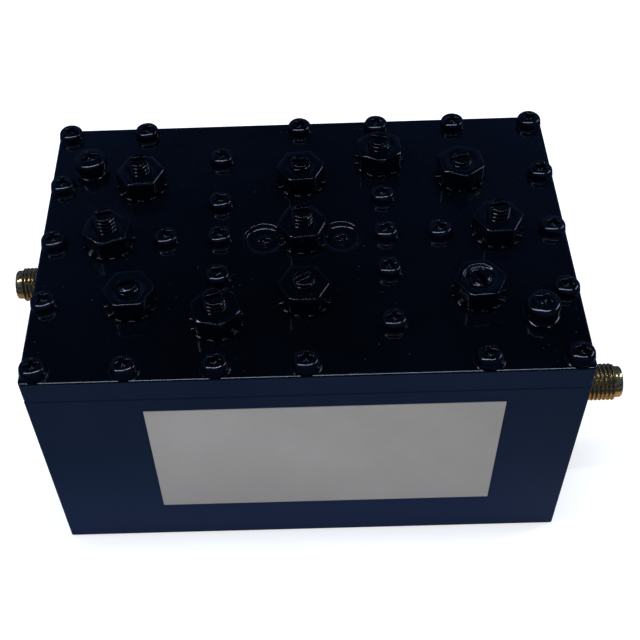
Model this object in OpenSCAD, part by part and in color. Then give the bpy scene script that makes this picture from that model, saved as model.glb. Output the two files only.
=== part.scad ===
// Six-cavity coaxial bandpass filter: a milled housing with a screwed cover,
// tuned by slotted studs, with a threaded coaxial jack on each end.
// Millimetres, +Z up, origin at the centre of the underside. The front faces -Y.

/* [Housing] */
// Length of the housing, end to end
body_w = 86; // [80:0.5:110]
// Depth of the housing, front to back
body_d = 57; // [53:0.5:75]
// Height of the housing under the cover
body_h = 40.75; // [36:0.25:55]
// Thickness of the four outer walls
wall = 4.5; // [4:0.1:5.5]
// Thickness of the floor under the cavities
floor_t = 5; // [4.5:0.1:7]
// Thickness of the two webs that run front to back
web_col = 4.5; // [4:0.1:6]
// Thickness of the web that runs end to end
web_mid = 5; // [4.5:0.1:6]
// Corner radius left in the cavities by the milling cutter
cavity_r = 3; // [1.5:0.1:4]
// Rounding of the four upright corners
corner_r = 0.5; // [0.2:0.1:1.5]

/* [Coupling windows] */
// Width of the windows in the front-to-back webs
window_col = 12.9; // [8:0.1:14]
// Width of the outer windows in the end-to-end web
window_mid = 13.6; // [8:0.1:15]
// Width of the middle window in the end-to-end web
window_centre = 7.7; // [5:0.1:9]

/* [Cover] */
// Thickness of the cover plate
cover_t = 4.75; // [3:0.25:8]
// Chamfer round the cover's top edge
cover_chamfer = 0.35; // [0.1:0.05:0.8]
// Chamfer on the seam's two edges and round the underside
edge_break = 0.2; // [0.1:0.05:0.5]

/* [Cover screws] */
// Thread diameter of the cover screws
screw_d = 2.18; // [1.8:0.02:2.5]
// Head diameter of the cover screws
head_d = 4.2; // [3.6:0.1:4.4]
// Head height of the cover screws
head_h = 1.9; // [1:0.05:2.2]
// Head height of the recessed screws and the flange screws
low_head_h = 1.35; // [1:0.05:1.6]
// Depth that the cover screws reach into the housing
screw_grip = 6; // [3:0.5:10]
// Distance of the edge screws from the cover's edge
edge_inset = 2.2; // [2:0.1:2.6]
// Distance of a web screw from the window's edge beside it
window_inset = 2.5; // [1.6:0.1:3]
// Distance of the inner closed-web screws from the middle web's centre line
web_screw_near = 8; // [6:0.1:9]
// Distance of the outer closed-web screws from the middle web's centre line
web_screw_far = 18.85; // [14:0.1:20]
// Diameter of the pockets for the two recessed screws
pocket_d = 6.4; // [5.2:0.1:7]
// Depth of the pockets for the two recessed screws
pocket_deep = 1.7; // [1.5:0.1:2.5]

/* [Tuning studs] */
// Thread diameter of the studs
stud_d = 3.5; // [2.8:0.1:4]
// Length of the studs
stud_len = 22.2; // [17:0.1:26]
// Width of the screwdriver slot
slot_w = 0.8; // [0.5:0.05:1.2]
// Depth of the screwdriver slot
slot_deep = 1.2; // [0.6:0.1:2]
// Height of each tuning stud above its nut, along the signal path
tuning_proud = [2.6, 1.0, 1.4, 1.3, 0.9, 0.15]; // [0:0.05:4]
// Height of each coupling stud above its nut, along the signal path
coupling_proud = [3.2, 2.4, 2.6, 1.8, 2.6]; // [0:0.05:4]
// Turn of each tuning stud's slot from the X axis
tuning_slot = [5, 12, 30, 8, 15, 62]; // [0:1:180]
// Turn of each coupling stud's slot from the X axis
coupling_slot = [12, 75, 5, 150, 10]; // [0:1:180]

/* [Lock nuts] */
// Width of the nuts across their flats
nut_af = 7.2; // [6.2:0.1:8]
// Thickness of the nuts
nut_t = 3; // [2:0.1:3.6]
// Depth of the countersink at each end of a nut's bore
nut_sink = 0.5; // [0.1:0.05:0.8]
// Turn of each tuning nut, 0 with a flat to the front
tuning_nut = [4, 2, 0, 3, 27, 4]; // [0:1:60]
// Turn of each coupling nut, 0 with a flat to the front
coupling_nut = [38, 55, 5, 32, 1]; // [0:1:60]

/* [Toothed washers] */
// Outer diameter of the toothed washers, over the teeth
star_d = 8.6; // [7.4:0.1:9.4]
// Sheet thickness of the toothed washers
star_t = 0.5; // [0.4:0.05:0.8]
// Number of teeth on a washer
teeth = 12; // [8:1:16]
// Twist of each tooth out of the washer's plane
tooth_twist = 16; // [0:1:25]

/* [Resonators] */
// Diameter of the resonator posts
post_d = 9; // [7:0.1:11]
// Height of the posts above the cavity floor
post_h = 30; // [22:0.5:33]
// Bore in the post's top that the stud enters
post_bore = 5.2; // [4.6:0.1:6]
// Depth of that bore
post_bore_deep = 14; // [8:0.5:18]
// Thread diameter of the screws that hold the posts
post_screw_d = 2.84; // [2:0.02:3.4]
// Head diameter of the screws that hold the posts
post_head_d = 5.2; // [4.6:0.1:6]
// Head height of the screws that hold the posts
post_head_h = 1.9; // [1.4:0.1:2.2]
// Depth of those heads below the underside
post_head_sink = 0.3; // [0.1:0.1:0.8]
// Depth that those screws reach into the posts
post_screw_grip = 6; // [4:0.5:8]

/* [Port screws] */
// Thread diameter of the two port screws
port_d = 2.84; // [2:0.02:3.2]
// Head diameter of the two port screws
port_head_d = 5.6; // [4.8:0.1:6.2]
// Head height of the two port screws
port_head_h = 1.95; // [1.2:0.05:2.6]
// Diameter of the collar under each head
collar_d = 4.8; // [4:0.1:5.4]
// Height of the collar under each head
collar_h = 1.3; // [0.8:0.1:2.5]
// Length of a port screw's shank below its collar
port_len = 14; // [8:0.5:18]
// Distance of a port screw from the cavity's end wall
port_gap_x = 2.2; // [1.8:0.1:3.5]
// Distance of a port screw from the cavity's long wall
port_gap_y = 6.3; // [4.5:0.1:7]

/* [Jacks] */
// Height of the jacks' axis above the underside
jack_z = 21.2; // [16:0.1:26]
// Side of the square flange
flange = 12.7; // [11.6:0.1:13]
// Thickness of the flange
flange_t = 1.6; // [1.2:0.1:2.5]
// Spacing of the four flange screws
flange_pitch = 8.64; // [8.2:0.02:9]
// Outside diameter of the jack's thread
thread_d = 6.35; // [6:0.05:6.6]
// Length of the thread
thread_len = 6.9; // [5:0.1:8]
// Diameter of the neck behind the thread
neck_d = 5.3; // [5.1:0.1:5.6]
// Length of the neck behind the thread
neck_len = 1.2; // [0.8:0.1:2]
// Diameter of the plain nose in front of the thread
nose_d = 5.34; // [5.2:0.02:5.6]
// Length of the plain nose
nose_len = 1.15; // [1:0.05:2.2]
// Bore of the nose that the plug enters
mouth_d = 4.6; // [4.5:0.02:4.8]
// Depth of that bore, down to the insulator
mouth_deep = 1.9; // [1.5:0.1:2.5]
// Diameter of the insulator
insulator_d = 4.1; // [3.6:0.05:4.3]
// Diameter of the centre contact
contact_d = 1.27; // [1.1:0.01:1.5]
// Bore of the contact's socket
socket_d = 0.94; // [0.9:0.01:0.96]
// Depth of the contact's socket
socket_deep = 3; // [2:0.1:4]
// Length of the contact that stands in the cavity
tail_len = 2; // [1:0.1:3]
// Depth that the flange screws reach into the wall
flange_grip = 3.5; // [2:0.1:3.8]

/* [Mounting holes] */
// Diameter of the tapped mounting holes underneath
mount_d = 2.84; // [2:0.02:3.6]
// Depth of the tapped mounting holes
mount_deep = 6.4; // [4:0.1:10]
// Distance of the mounting holes from the housing's ends and sides
mount_inset = 3.5; // [3.2:0.1:4]

/* [Label] */
// Width of the label
label_w = 55.6; // [30:0.1:70]
// Height of the label
label_h = 27.8; // [15:0.1:30]
// Thickness of the label
label_t = 0.15; // [0.1:0.05:0.4]
// Offset of the label from the middle, to the right
label_x = 2.6; // [-6:0.1:6]
// Height of the label's lower edge above the underside
label_z = 10; // [3:0.1:12]

/* [Hidden] */
$fn = 48;
// Radial play left between a thread and its hole
play = 0.04;
// Radial play left round a screw that passes through a part, and round a sunk head
pass_play = 0.08;
head_play = 0.12;
// Upright part of a pan head's side, as a share of its height
skirt_share = 0.45;
// Span and width of a cross recess, as shares of the head's width
recess_span = 0.56;
recess_w = 0.16;
// Depth of a cross recess, as a share of the head's height
recess_deep = 0.5;
// Turn from one screw's recess to the next one's
recess_step = 37;
// Height of a drill's point, as a share of its diameter
drill_point = 0.25;
// Angle at which the nuts' corners are turned off
nut_bevel = 30;
// Diameter of a toothed washer's ring, as a share of its outer diameter
ring_share = 0.8;
// Width of a tooth, as a share of the teeth's spacing on the ring
tooth_share = 0.62;
// Turn from one toothed washer to the next one
washer_step = 7;
// Overlap of a cutting tool past the face that it cuts
eps = 0.5;
top_z = body_h + cover_t;
// Spacing of the edge screws along the long and the short sides
pitch_x = (body_w - 2*edge_inset)/6;
pitch_y = (body_d - 2*edge_inset)/4;
// The front-to-back webs stand under the screws next to the middle ones
web_x = pitch_x;
cavity_w = body_w/2 - wall - web_x - web_col/2;
mid_w = 2*web_x - web_col;
cavity_d = body_d/2 - wall - web_mid/2;
res_x = web_x + web_col/2 + cavity_w/2;
res_y = web_mid/2 + cavity_d/2;
// Seat of the post screws' heads in their counterbores
post_seat_z = post_head_sink + post_head_h;
// The two sides of a symmetric feature
sides = [-1, 1];
// Posts along the signal path, from the left jack to the right one
post_at = [[-res_x, res_y], [-res_x, -res_y], [0, -res_y], [0, res_y], [res_x, res_y], [res_x, -res_y]];
// Coupling studs stand over the middle of the window between two posts
mid_window_x = body_w/2 - wall - window_mid/2;
col_window_y = body_d/2 - wall - window_col/2;
coupling_at = [[-mid_window_x, 0], [-web_x, -col_window_y], [0, 0], [web_x, col_window_y], [mid_window_x, 0]];
stud_at = concat(post_at, coupling_at);
stud_proud = concat(tuning_proud, coupling_proud);
stud_slot = concat(tuning_slot, coupling_slot);
nut_turn = concat(tuning_nut, coupling_nut);
// Teeth stand out on both sides of the washer's ring, and the nut bears on their upper edges
ring_d = ring_share*star_d;
tooth_w = tooth_share*PI*ring_d/teeth;
star_h = star_t*cos(tooth_twist) + tooth_w*sin(tooth_twist);
nut_z = top_z + star_h;
nut_top = nut_z + nut_t;
port_x = body_w/2 - wall - port_gap_x;
port_y = body_d/2 - wall - port_gap_y;
port_at = [[-port_x, port_y], [port_x, -port_y]];
stub_x = mid_window_x - window_mid/2 - window_inset;
stub_y = col_window_y - window_col/2 - window_inset;
recess_x = window_centre/2 + window_inset;
barrel_len = neck_len + thread_len + nose_len;
jack_end = body_w/2 + flange_t + barrel_len;
insulator_len = jack_end - mouth_deep - (body_w/2 - wall);
contact_start = body_w/2 - wall - tail_len;
contact_len = jack_end - mouth_deep - contact_start;
// Rows of edge screws: the one over each closed inner web is set further in
back_row = [for (i = [-3:3]) if (i != -1) [i*pitch_x, 2*pitch_y]];
side_row = [for (j = [-1:1]) [-3*pitch_x, j*pitch_y]];
web_half = [for (y = [web_screw_far, web_screw_near, 0, -stub_y]) [-web_x, y]];
inner_half = concat(web_half, [[-stub_x, 0]]);
half_set = concat(back_row, side_row, inner_half);
cover_screw_at = concat(half_set, -half_set);
recessed_at = [[-recess_x, 0], [recess_x, 0]];

// Places a jack's pieces, drawn along +X from the wall's outside, on the left or right end
module at_jack(side) {
    rotate([0, 0, side == "left" ? 180 : 0])
        translate([body_w/2, -res_y, jack_z])
            children();
}

module rounded_rect(w, d, r) {
    square([w - 2*r, d], center = true);
    square([w, d - 2*r], center = true);
    for (x = sides, y = sides)
        translate([x*(w/2 - r), y*(d/2 - r)])
            circle(r);
}

// Upright profile of a block, chamfered by c0 at its foot and by c1 at its top
module chamfered_profile(w, h, c0, c1) {
    polygon([[c0 - w/2, 0], [w/2 - c0, 0], [w/2, c0], [w/2, h - c1], [w/2 - c1, h],
             [c1 - w/2, h], [-w/2, h - c1], [-w/2, c0]]);
}

// Block with rounded corners whose lower and upper edges are chamfered all round
module chamfered_block(w, d, h, r, c0, c1) {
    intersection() {
        linear_extrude(h)
            rounded_rect(w, d, r);
        rotate([90, 0, 0])
            linear_extrude(d + 2*eps, center = true)
                chamfered_profile(w, h, c0, c1);
        rotate([90, 0, 90])
            linear_extrude(w + 2*eps, center = true)
                chamfered_profile(d, h, c0, c1);
    }
}

// Upright hole at each point, from z0 up to z1
module holes(points, d, z0, z1) {
    for (p = points)
        translate([p.x, p.y, z0])
            cylinder(h = z1 - z0, d = d);
}

module cavity(x, y, w) {
    translate([x, y, floor_t])
        linear_extrude(body_h)
            rounded_rect(w, cavity_d, cavity_r);
}

module window(x, y, w, d) {
    translate([x, y, floor_t + body_h/2])
        cube([w, d, body_h], center = true);
}

// Windows reach into the cavities on both sides, past the rounding of their corners
module windows() {
    reach = 2*cavity_r + eps;
    for (s = sides) {
        window(s*mid_window_x, 0, window_mid, web_mid + reach);
        window(s*web_x, s*col_window_y, web_col + reach, window_col);
    }
    window(0, 0, window_centre, web_mid + eps);
}

module housing() {
    color("#1a2436")
    difference() {
        chamfered_block(body_w, body_d, body_h, corner_r, edge_break, edge_break);
        for (y = sides) {
            cavity(0, y*res_y, mid_w);
            for (x = sides)
                cavity(x*res_x, y*res_y, cavity_w);
        }
        windows();
        holes(concat(cover_screw_at, recessed_at), screw_d + 2*play, body_h - screw_grip - eps, body_h + eps);
        holes(post_at, post_screw_d + 2*play, -eps, floor_t + eps);
        holes(post_at, post_head_d + 2*head_play, -eps, post_seat_z);
        for (x = sides, y = sides)
            translate([x*(body_w/2 - mount_inset), y*(body_d/2 - mount_inset), -eps])
                cylinder(h = mount_deep + eps, d = mount_d);
        for (s = ["left", "right"])
            at_jack(s)
                rotate([0, -90, 0]) {
                    translate([0, 0, -eps])
                        cylinder(h = wall + 2*eps, d = insulator_d + 2*play);
                    flange_points(flange_grip + play, screw_d + 2*play);
                }
    }
}

// Four upright cylinders at the flange's screw holes, from z = -eps up to h
module flange_points(h, d) {
    for (x = sides, y = sides)
        translate([x*flange_pitch/2, y*flange_pitch/2, -eps])
            cylinder(h = h + eps, d = d);
}

module cover_plate() {
    color("#11182b")
    translate([0, 0, body_h])
        difference() {
            chamfered_block(body_w, body_d, cover_t, corner_r, edge_break, cover_chamfer);
            holes(concat(cover_screw_at, recessed_at), screw_d + 2*pass_play, -eps, cover_t + eps);
            holes(recessed_at, pocket_d, cover_t - pocket_deep, cover_t + eps);
            holes(stud_at, stud_d + 2*play, -eps, cover_t + eps);
            holes(port_at, port_d + 2*play, -eps, cover_t + eps);
        }
}

module front_label() {
    color("#9b9a97")
    translate([label_x - label_w/2, -body_d/2 - label_t, label_z])
        cube([label_w, label_t, label_h]);
}

// Post with a bored top, a tapped foot and a small chamfer round its rim
module resonator(i) {
    chamfer = 0.4;
    color("#d9dbdc")
    translate([post_at[i - 1].x, post_at[i - 1].y, floor_t])
        rotate_extrude()
            polygon([
                [post_screw_d/2 + play, 0], [post_d/2, 0], [post_d/2, post_h - chamfer],
                [post_d/2 - chamfer, post_h], [post_bore/2 + chamfer, post_h],
                [post_bore/2, post_h - chamfer], [post_bore/2, post_h - post_bore_deep],
                [0, post_h - post_bore_deep - drill_point*post_bore],
                [0, post_screw_grip + eps + drill_point*post_screw_d],
                [post_screw_d/2 + play, post_screw_grip + eps]
            ]);
}

// Cross-recess screw, head up, with the underside of the head at z = 0
module pan_screw(d, len, hd, hh, turn = 0) {
    skirt = skirt_share*hh;
    crown = hh - skirt;
    ball_r = (hd*hd/4 + crown*crown)/(2*crown);
    deep = recess_deep*hh;
    difference() {
        union() {
            intersection() {
                cylinder(h = hh, d = hd);
                translate([0, 0, hh - ball_r])
                    sphere(ball_r, $fn = 64);
            }
            translate([0, 0, -len])
                cylinder(h = len + skirt/2, d = d);
        }
        for (a = [0, 90])
            rotate([0, 0, a + turn])
                translate([0, 0, hh - deep/2 + eps/2])
                    cube([recess_span*hd, recess_w*hd, deep + eps], center = true);
    }
}

module resonator_screws() {
    color("#3a3f4a")
    for (i = [0:5])
        translate([post_at[i].x, post_at[i].y, post_seat_z])
            mirror([0, 0, 1])
                pan_screw(post_screw_d, floor_t - post_seat_z + post_screw_grip,
                          post_head_d, post_head_h, recess_step*i);
}

// Headless slotted stud, counted from 0 along the tuning studs and then the coupling studs
module stud(i) {
    tip = 0.5;
    translate([stud_at[i].x, stud_at[i].y, nut_top + stud_proud[i] - stud_len])
        difference() {
            rotate_extrude()
                polygon([
                    [0, 0], [stud_d/2 - tip, 0], [stud_d/2, tip], [stud_d/2, stud_len - tip/2],
                    [stud_d/2 - tip/2, stud_len], [0, stud_len]
                ]);
            translate([0, 0, stud_len])
                rotate([0, 0, stud_slot[i]])
                    cube([2*stud_d, slot_w, 2*slot_deep], center = true);
        }
}

module tuning_stud(i) {
    color("#141b2e") stud(i - 1);
}

module coupling_stud(i) {
    color("#141b2e") stud(i + 5);
}

// Hexagonal nut with its upper corners turned off and both ends of its bore countersunk
module lock_nut(i) {
    across = nut_af/cos(30);
    drop = (across - nut_af)/2*tan(nut_bevel);
    bore_r = stud_d/2 + play;
    color("#151d30")
    translate([stud_at[i - 1].x, stud_at[i - 1].y, nut_z])
        rotate([0, 0, nut_turn[i - 1]])
            difference() {
                intersection() {
                    cylinder(h = nut_t, d = across, $fn = 6);
                    rotate_extrude()
                        polygon([
                            [0, 0], [across/2 + eps, 0],
                            [across/2 + eps, nut_t - drop - eps*tan(nut_bevel)],
                            [nut_af/2, nut_t], [0, nut_t]
                        ]);
                }
                rotate_extrude()
                    polygon([
                        [0, -eps], [bore_r + nut_sink + eps, -eps], [bore_r, nut_sink],
                        [bore_r, nut_t - nut_sink], [bore_r + nut_sink + eps, nut_t + eps], [0, nut_t + eps]
                    ]);
            }
}

// Toothed washer, centred on its own middle plane: a ring whose rim carries twisted teeth
module star_washer() {
    root = 0.3;
    tooth_len = (star_d - ring_d)/2 + root;
    difference() {
        union() {
            cylinder(h = star_t, d = ring_d, center = true);
            for (k = [0:teeth - 1])
                rotate([0, 0, k*360/teeth])
                    translate([star_d/2 - tooth_len/2, 0, 0])
                        rotate([tooth_twist, 0, 0])
                            cube([tooth_len, tooth_w, star_t], center = true);
        }
        cylinder(h = star_t + 2*eps, d = stud_d + 2*pass_play, center = true);
    }
}

module star_washers() {
    color("#131a2c")
    for (i = [0:10])
        translate([stud_at[i].x, stud_at[i].y, top_z + star_h/2])
            rotate([0, 0, washer_step*i])
                star_washer();
}

module cover_screws() {
    color("#12192b")
    for (i = [0:len(cover_screw_at) - 1])
        translate([cover_screw_at[i].x, cover_screw_at[i].y, top_z])
            pan_screw(screw_d, cover_t + screw_grip, head_d, head_h, recess_step*i);
}

module recessed_screws() {
    color("#12192b")
    for (i = [0, 1])
        translate([recessed_at[i].x, recessed_at[i].y, top_z - pocket_deep])
            pan_screw(screw_d, cover_t - pocket_deep + screw_grip,
                      head_d, low_head_h, recess_step*(i + 1));
}

module port_screw(i) {
    color("#12192b")
    translate([port_at[i].x, port_at[i].y, top_z + collar_h])
        pan_screw(port_d, collar_h + port_len, port_head_d, port_head_h, recess_step*(i + 1));
}

module port_collars() {
    color("#0d1220")
    for (p = port_at)
        translate([p.x, p.y, top_z])
            difference() {
                cylinder(h = collar_h, d = collar_d);
                translate([0, 0, -eps])
                    cylinder(h = collar_h + 2*eps, d = port_d + 2*play);
            }
}

// Square flange with the neck, the thread's outside and the plain nose turned on it
module jack_body(side) {
    rim = 0.25;
    neck_x = flange_t + neck_len;
    thread_x = neck_x + thread_len;
    nose_x = thread_x + nose_len;
    color("#c79a3a")
    at_jack(side)
        difference() {
            union() {
                translate([flange_t/2, 0, 0])
                    cube([flange_t, flange, flange], center = true);
                rotate([0, 90, 0])
                    rotate_extrude()
                        polygon([
                            [0, 0], [neck_d/2, 0], [neck_d/2, neck_x], [thread_d/2 - rim, neck_x],
                            [thread_d/2, neck_x + rim], [thread_d/2, thread_x - rim],
                            [thread_d/2 - rim, thread_x], [nose_d/2, thread_x], [nose_d/2, nose_x - rim/2],
                            [nose_d/2 - rim/2, nose_x], [0, nose_x]
                        ]);
            }
            rotate([0, 90, 0]) {
                translate([0, 0, -eps])
                    cylinder(h = nose_x + 2*eps, d = insulator_d + 2*play);
                translate([0, 0, nose_x - mouth_deep])
                    cylinder(h = mouth_deep + eps, d = mouth_d);
                flange_points(flange_t + eps, screw_d + 2*pass_play);
            }
        }
}

module jack_insulator(side) {
    color("#f1efe8")
    at_jack(side)
        translate([-wall, 0, 0])
            rotate([0, 90, 0])
                difference() {
                    cylinder(h = insulator_len, d = insulator_d);
                    translate([0, 0, -eps])
                        cylinder(h = insulator_len + 2*eps, d = contact_d + play);
                }
}

// Centre contact: a rod with a slit socket at its outer end
module jack_contact(side) {
    slit = 0.15;
    color("#d8ad4a")
    at_jack(side)
        translate([-wall - tail_len, 0, 0])
            rotate([0, 90, 0])
                difference() {
                    cylinder(h = contact_len, d = contact_d);
                    translate([0, 0, contact_len - socket_deep])
                        cylinder(h = socket_deep + eps, d = socket_d);
                    for (a = [0, 90])
                        rotate([0, 0, a])
                            translate([0, 0, contact_len])
                                cube([2*contact_d, slit, socket_deep], center = true);
                }
}

// Wire from the contact's tail to the side of the nearest post, with a cup over the tail
module tap_wire(side) {
    wire_d = 1;
    cup_d = 2;
    cup_len = 1.6;
    cup_end = 1;
    reach = body_w/2 - wall - tail_len - res_x;
    color("#c98a5a")
    at_jack(side)
        difference() {
            translate([-wall - tail_len, 0, 0])
                rotate([0, -90, 0])
                    union() {
                        cylinder(h = reach, d = wire_d);
                        translate([0, 0, -cup_len])
                            cylinder(h = cup_len + cup_end, d = cup_d);
                    }
            translate([-wall - tail_len, 0, 0])
                rotate([0, 90, 0])
                    cylinder(h = cup_len + eps, d = contact_d + 2*play);
            translate([res_x - body_w/2, 0, -jack_z])
                cylinder(h = body_h, d = post_d + 2*play);
        }
}

module jack_screws(side) {
    color("#b9bcc0")
    at_jack(side)
        for (x = sides, y = sides)
            translate([flange_t, x*flange_pitch/2, y*flange_pitch/2])
                rotate([0, 90, 0])
                    pan_screw(screw_d, flange_t + flange_grip, head_d, low_head_h, recess_step*(x + 2*y));
}

housing();
cover_plate();
front_label();
for (i = [1:6]) resonator(i);
resonator_screws();
for (i = [1:6]) tuning_stud(i);
for (i = [1:5]) coupling_stud(i);
for (i = [1:11]) lock_nut(i);
star_washers();
cover_screws();
recessed_screws();
port_screw(0);  // port_screw_left
port_screw(1);  // port_screw_right
port_collars();
for (s = ["left", "right"]) {
    jack_body(s);
    jack_insulator(s);
    jack_contact(s);
    tap_wire(s);
    jack_screws(s);
}
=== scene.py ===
import math
import random

import bmesh
import bpy
from mathutils import Matrix, Vector


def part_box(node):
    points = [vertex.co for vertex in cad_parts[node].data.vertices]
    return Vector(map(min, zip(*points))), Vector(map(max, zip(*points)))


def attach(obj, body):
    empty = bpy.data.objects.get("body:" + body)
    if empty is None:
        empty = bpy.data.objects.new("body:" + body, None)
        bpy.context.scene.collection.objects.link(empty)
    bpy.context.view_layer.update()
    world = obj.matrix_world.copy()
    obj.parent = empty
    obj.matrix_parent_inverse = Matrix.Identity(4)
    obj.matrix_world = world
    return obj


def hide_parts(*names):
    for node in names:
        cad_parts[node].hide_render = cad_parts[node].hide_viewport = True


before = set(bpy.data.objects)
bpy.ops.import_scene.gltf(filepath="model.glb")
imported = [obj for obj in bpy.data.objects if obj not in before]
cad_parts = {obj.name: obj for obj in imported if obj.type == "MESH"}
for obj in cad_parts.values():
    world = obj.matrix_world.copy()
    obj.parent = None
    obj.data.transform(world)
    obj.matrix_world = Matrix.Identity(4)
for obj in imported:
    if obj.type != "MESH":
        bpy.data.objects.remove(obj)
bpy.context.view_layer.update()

MM = 0.001
FULL_TURN = 2 * math.pi

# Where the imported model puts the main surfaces
cover_low, cover_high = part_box("cover_plate")
housing_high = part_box("housing")[1]
label_low, label_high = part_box("front_label")
cover_top = cover_high.z
cover_under = cover_low.z

# Turn of each nut and of each stud's slot from the X axis, along the signal path
TUNING_NUT_TURNS = [4, 2, 0, 3, 37, 4]
COUPLING_NUT_TURNS = [20, 46, 5, 32, 1]
TUNING_SLOT_TURNS = [5, 12, 30, 8, 15, 114]
COUPLING_SLOT_TURNS = [12, 20, 5, -14, 10]


# Working with pieces

def clear_selection():
    """Deselects everything, so that the next operator works on the next piece alone."""
    bpy.ops.object.select_all(action="DESELECT")


def only(piece):
    """Selects one piece and makes it the active one."""
    clear_selection()
    piece.select_set(True)
    bpy.context.view_layer.objects.active = piece


def settle(piece, name):
    """Names the piece and moves its place and turn into its mesh."""
    only(piece)
    bpy.ops.object.transform_apply(location=True, rotation=True, scale=True)
    piece.name = name
    piece.data.name = name
    return piece


def edit(piece):
    """Opens the piece in edit mode."""
    only(piece)
    bpy.ops.object.mode_set(mode="EDIT")


def done():
    """Closes edit mode with all faces turned outwards."""
    bpy.ops.mesh.select_all(action="SELECT")
    bpy.ops.mesh.normals_make_consistent(inside=False)
    bpy.ops.object.mode_set(mode="OBJECT")


def pick(kind, test):
    """In edit mode, selects the points, edges or faces whose middle passes the test."""
    bpy.ops.mesh.select_mode(type=kind)
    bpy.ops.mesh.select_all(action="DESELECT")
    mesh = bmesh.from_edit_mesh(bpy.context.object.data)
    if kind == "VERT":
        chosen = [v for v in mesh.verts if test(v.co)]
    elif kind == "EDGE":
        chosen = [e for e in mesh.edges if test((e.verts[0].co + e.verts[1].co) / 2)]
    else:
        chosen = [f for f in mesh.faces if test(f.calc_center_median())]
    for element in chosen:
        element.select_set(True)
    mesh.select_flush_mode()
    bmesh.update_edit_mesh(bpy.context.object.data)


def finish_with(piece, kind, **settings):
    """Adds a modifier with these settings and applies it."""
    only(piece)
    modifier = piece.modifiers.new(kind.lower(), kind)
    for setting, value in settings.items():
        setattr(modifier, setting, value)
    bpy.ops.object.modifier_apply(modifier=modifier.name)
    return piece


def combine(piece, tool, operation):
    """Unites, cuts or trims the piece with a tool, which is used up."""
    finish_with(piece, "BOOLEAN", operation=operation, solver="EXACT", object=tool)
    bpy.data.objects.remove(tool)
    return piece


def smooth_over(piece, degrees):
    """Shades the piece smooth across edges flatter than this angle."""
    only(piece)
    bpy.ops.object.shade_smooth_by_angle(angle=math.radians(degrees))
    return piece


def copy_at(piece, name, place, turn=0.0, tilt=None):
    """A copy with its own mesh, turned about Z, tilted, and moved from the origin to its place."""
    copy = bpy.data.objects.new(name, piece.data.copy())
    bpy.context.scene.collection.objects.link(copy)
    copy.matrix_world = Matrix.Translation(place) @ (tilt or Matrix()) @ Matrix.Rotation(turn, 4, "Z")
    return settle(copy, name)


def join_all(pieces, name):
    """Makes several pieces into one."""
    only(pieces[0])
    for piece in pieces:
        piece.select_set(True)
    bpy.ops.object.join()
    return settle(bpy.context.object, name)


def discard(piece):
    """Removes a pattern piece after its copies are made."""
    bpy.data.objects.remove(piece)


def solid_middles(node):
    """The middle of each separate solid in a CAD node, back to front and left to right."""
    copy = bpy.data.objects.new("measured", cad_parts[node].data.copy())
    bpy.context.scene.collection.objects.link(copy)
    edit(copy)
    bpy.ops.mesh.select_all(action="SELECT")
    bpy.ops.mesh.remove_doubles(threshold=1e-6)
    bpy.ops.mesh.separate(type="LOOSE")
    bpy.ops.object.mode_set(mode="OBJECT")
    middles = []
    for part in list(bpy.context.selected_objects):
        corners = [v.co for v in part.data.vertices]
        low = Vector([min(c[i] for c in corners) for i in range(3)])
        high = Vector([max(c[i] for c in corners) for i in range(3)])
        middles.append((low + high) / 2)
        bpy.data.objects.remove(part)
    return sorted(middles, key=lambda m: (round(-m.y, 4), round(m.x, 4), round(m.z, 4)))


def place_in_plan(node, height):
    """The point above a CAD node's middle at this height."""
    low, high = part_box(node)
    return Vector(((low.x + high.x) / 2, (low.y + high.y) / 2, height))


# Shared ways to make a shape

def turned(name, outline, steps, ring=False):
    """A turned solid on the Z axis, drawn out ring by ring through (radius, height) pairs in mm."""
    clear_selection()
    radius, height = outline[0]
    bpy.ops.mesh.primitive_circle_add(vertices=steps, radius=radius * MM, location=(0, 0, height * MM))
    piece = bpy.context.object
    bpy.ops.object.mode_set(mode="EDIT")
    bpy.ops.mesh.select_mode(type="EDGE")
    bpy.ops.mesh.select_all(action="SELECT")
    if not ring:
        bpy.ops.mesh.edge_face_add()
    for next_radius, next_height in outline[1:]:
        rise = (0, 0, (next_height - height) * MM)
        bpy.ops.mesh.extrude_edges_move(TRANSFORM_OT_translate={"value": rise})
        growth = next_radius / radius
        bpy.ops.transform.resize(value=(growth, growth, 1), center_override=(0, 0, next_height * MM))
        radius, height = next_radius, next_height
    if ring:
        bpy.ops.mesh.select_all(action="SELECT")
        bpy.ops.mesh.remove_doubles(threshold=1e-6)
    else:
        bpy.ops.mesh.edge_face_add()
    done()
    return settle(piece, name)


def block(name, low, high):
    """A box between two corners."""
    clear_selection()
    middle = (Vector(low) + Vector(high)) / 2
    size = Vector(high) - Vector(low)
    bpy.ops.mesh.primitive_cube_add(size=1, location=middle, scale=size)
    return settle(bpy.context.object, name)


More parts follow.
